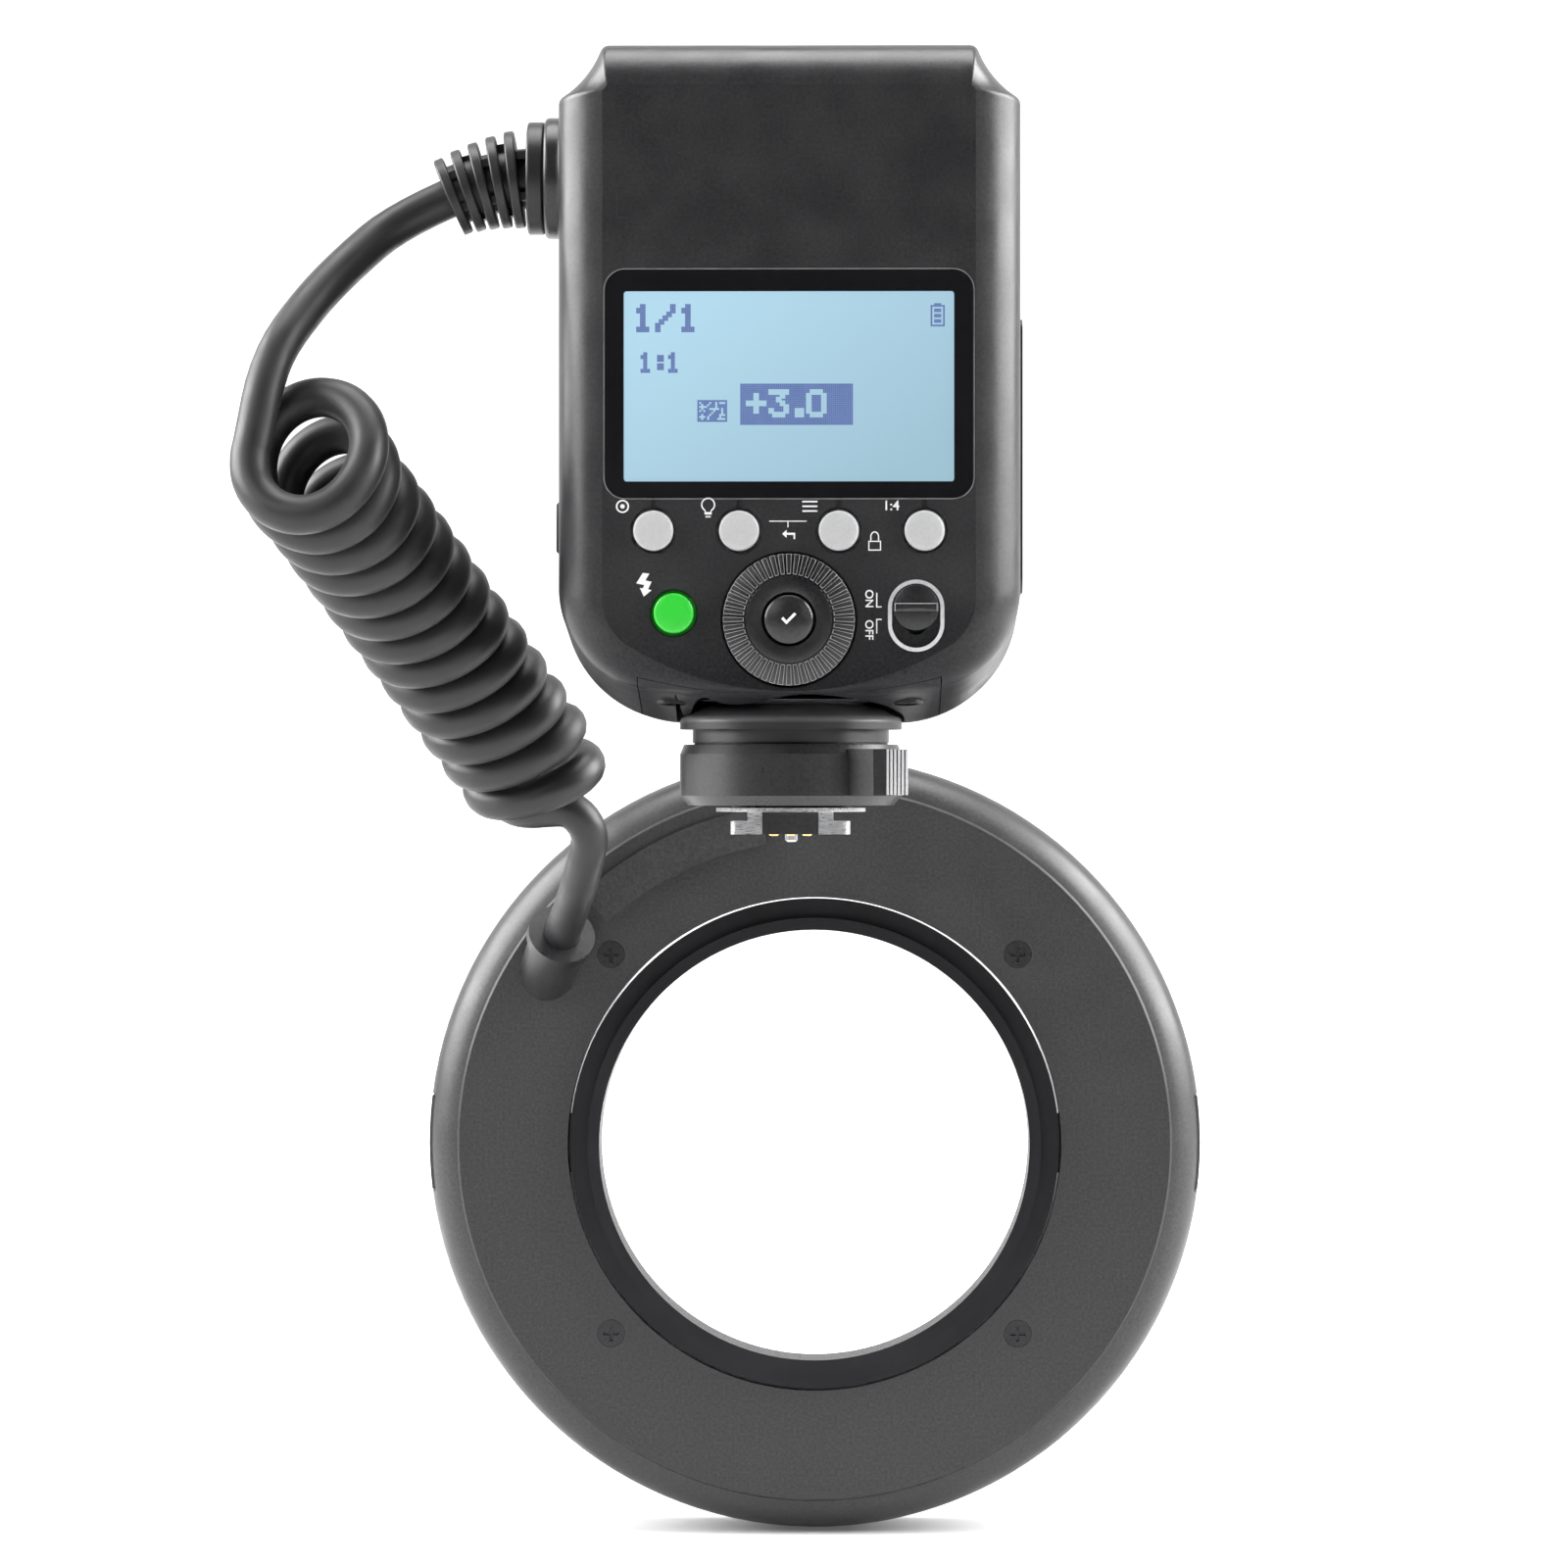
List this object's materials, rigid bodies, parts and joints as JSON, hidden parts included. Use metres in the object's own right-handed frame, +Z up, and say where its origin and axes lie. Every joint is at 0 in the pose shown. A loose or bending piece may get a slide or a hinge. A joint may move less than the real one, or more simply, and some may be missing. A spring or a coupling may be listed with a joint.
{
  "type": "macro ring flash",
  "caption": "Shoe-mounted flash controller with a backlit display, keys and dial, joined by a curly cord to a round ring-light head that clips to a lens.",
  "frame": {"origin": "middle of the shoe foot's lower face", "axes": "+X to the right as seen by the viewer behind the controller, +Y forward to the subject, +Z up"},
  "size_m": [0.1549, 0.1436, 0.2408],
  "materials": {
    "shell": "satin moulded charcoal plastic, fine grain",
    "gloss_black": "gloss black",
    "display": "lit pale blue display behind clear plastic",
    "circuit": "green lacquered circuit board",
    "key_grey": "satin light grey",
    "key_green": "bright translucent green",
    "dial_black": "satin black with fine ribs",
    "dark_plastic": "matt black",
    "bright_metal": "polished metal",
    "foot_metal": "brushed steel",
    "screw_steel": "blackened steel",
    "contact_gold": "gold plated contacts",
    "cord_rubber": "satin black rubber sheath",
    "gland_rubber": "matt black moulded rubber",
    "battery_case": "matt dark grey",
    "capacitor_sleeve": "dark blue sleeve",
    "diffuser": "frosted fluted clear plastic",
    "reflector": "bright mirror trough",
    "tube_glass": "clear glass flash tube",
    "lamp_lens": "clear domed lamp lens",
    "window_red": "dark red translucent",
    "adapter_metal": "black anodised aluminium"
  },
  "bodies": {
    "controller": {"rear_shell": "shell", "front_shell": "shell", "bottom_cover": "shell", "lcd_bezel": "gloss_black", "lcd_panel": "display", "main_board": "circuit", "dial_encoder": "dark_plastic", "switch_rim": "bright_metal", "battery_bay": "dark_plastic", "battery_contacts": "contact_gold", "flash_capacitor": "capacitor_sleeve", "power_board": "circuit", "usb_port": "foot_metal", "side_panel": "dark_plastic", "lamp_window": "window_red", "cord_socket": "dark_plastic", "cord_gland": "gland_rubber", "foot_flange": "dark_plastic", "shoe_foot": "foot_metal", "contact_block": "dark_plastic", "contact_pins": "contact_gold", "shell_screws": "screw_steel", "bottom_screws": "screw_steel", "cord_top": "cord_rubber", "cord_coil": "cord_rubber"},
    "dial": {"dial": "dial_black"},
    "set_button": {"set_button": "dial_black"},
    "power_switch": {"power_switch": "dial_black"},
    "battery": {"battery_pack": "battery_case", "battery_cap": "shell"},
    "port_cover": {"port_cover": "gland_rubber"},
    "lock": {"lock_ring": "dark_plastic", "lock_grip": "bright_metal"},
    "lock_pin": {"lock_pin": "foot_metal"},
    "key_outer_left": {"key_outer_left": "key_grey"},
    "key_inner_left": {"key_inner_left": "key_grey"},
    "key_inner_right": {"key_inner_right": "key_grey"},
    "key_outer_right": {"key_outer_right": "key_grey"},
    "test_key": {"test_key": "key_green"},
    "ring_head": {"cord_bottom": "cord_rubber", "ring_gland": "dark_plastic", "ring_rear_cover": "shell", "ring_front_frame": "shell", "ring_board": "circuit", "ring_screws": "screw_steel", "led_top": "lamp_lens", "led_bottom": "lamp_lens", "diffuser_right": "diffuser", "diffuser_left": "diffuser", "reflector_right": "reflector", "reflector_left": "reflector", "flash_tube_right": "tube_glass", "flash_tube_left": "tube_glass"},
    "adapter": {"adapter_ring": "adapter_metal"},
    "release_right": {"release_right": "key_grey"},
    "release_left": {"release_left": "key_grey"}
  },
  "joints": [
    {"name": "key_outer_left_press", "type": "slide", "parent": "controller", "child": "key_outer_left", "axis": [0, 1, 0], "range_m": [0, 0.0006], "stiffness_N_per_m": 400},
    {"name": "key_inner_left_press", "type": "slide", "parent": "controller", "child": "key_inner_left", "axis": [0, 1, 0], "range_m": [0, 0.0006], "stiffness_N_per_m": 400},
    {"name": "key_inner_right_press", "type": "slide", "parent": "controller", "child": "key_inner_right", "axis": [0, 1, 0], "range_m": [0, 0.0006], "stiffness_N_per_m": 400},
    {"name": "key_outer_right_press", "type": "slide", "parent": "controller", "child": "key_outer_right", "axis": [0, 1, 0], "range_m": [0, 0.0006], "stiffness_N_per_m": 400},
    {"name": "test_key_press", "type": "slide", "parent": "controller", "child": "test_key", "axis": [0, 1, 0], "range_m": [0, 0.0006], "stiffness_N_per_m": 400},
    {"name": "dial_turn", "type": "hinge", "parent": "controller", "child": "dial", "pos_m": [0, -0.0299, 0.0329], "axis": [0, 1, 0], "continuous": true},
    {"name": "set_button_press", "type": "slide", "parent": "controller", "child": "set_button", "axis": [0, 1, 0], "range_m": [0, 0.0005], "stiffness_N_per_m": 400},
    {"name": "power_slide", "type": "slide", "parent": "controller", "child": "power_switch", "axis": [0, 0, -1], "range_m": [0, 0.0025]},
    {"name": "battery_slide", "type": "slide", "parent": "controller", "child": "battery", "axis": [1, 0, 0], "range_m": [0, 0.055]},
    {"name": "port_cover_swing", "type": "hinge", "parent": "controller", "child": "port_cover", "pos_m": [-0.03525, 0.001, 0.05245], "axis": [0, 1, 0], "range_deg": [0, 80]},
    {"name": "lock_turn", "type": "hinge", "parent": "controller", "child": "lock", "pos_m": [0, 0, 0.01], "axis": [0, 0, -1], "range_deg": [0, 60]},
    {"name": "lock_pin_lift", "type": "slide", "parent": "controller", "child": "lock_pin", "axis": [0, 0, 1], "range_m": [0, 0.0016], "stiffness_N_per_m": 120},
    {"name": "ring_reach", "type": "slide", "parent": "controller", "child": "ring_head", "axis": [0, 1, 0], "range_m": [0, 0.06], "stiffness_N_per_m": 12, "deforming": ["cord_coil"]},
    {"name": "adapter_turn", "type": "hinge", "parent": "ring_head", "child": "adapter", "pos_m": [0.0031, 0.0886, -0.0534], "axis": [0, 1, 0], "continuous": true},
    {"name": "release_right_press", "type": "slide", "parent": "ring_head", "child": "release_right", "axis": [-1, 0, 0], "range_m": [0, 0.002], "stiffness_N_per_m": 300},
    {"name": "release_left_press", "type": "slide", "parent": "ring_head", "child": "release_left", "axis": [1, 0, 0], "range_m": [0, 0.002], "stiffness_N_per_m": 300}
  ]
}
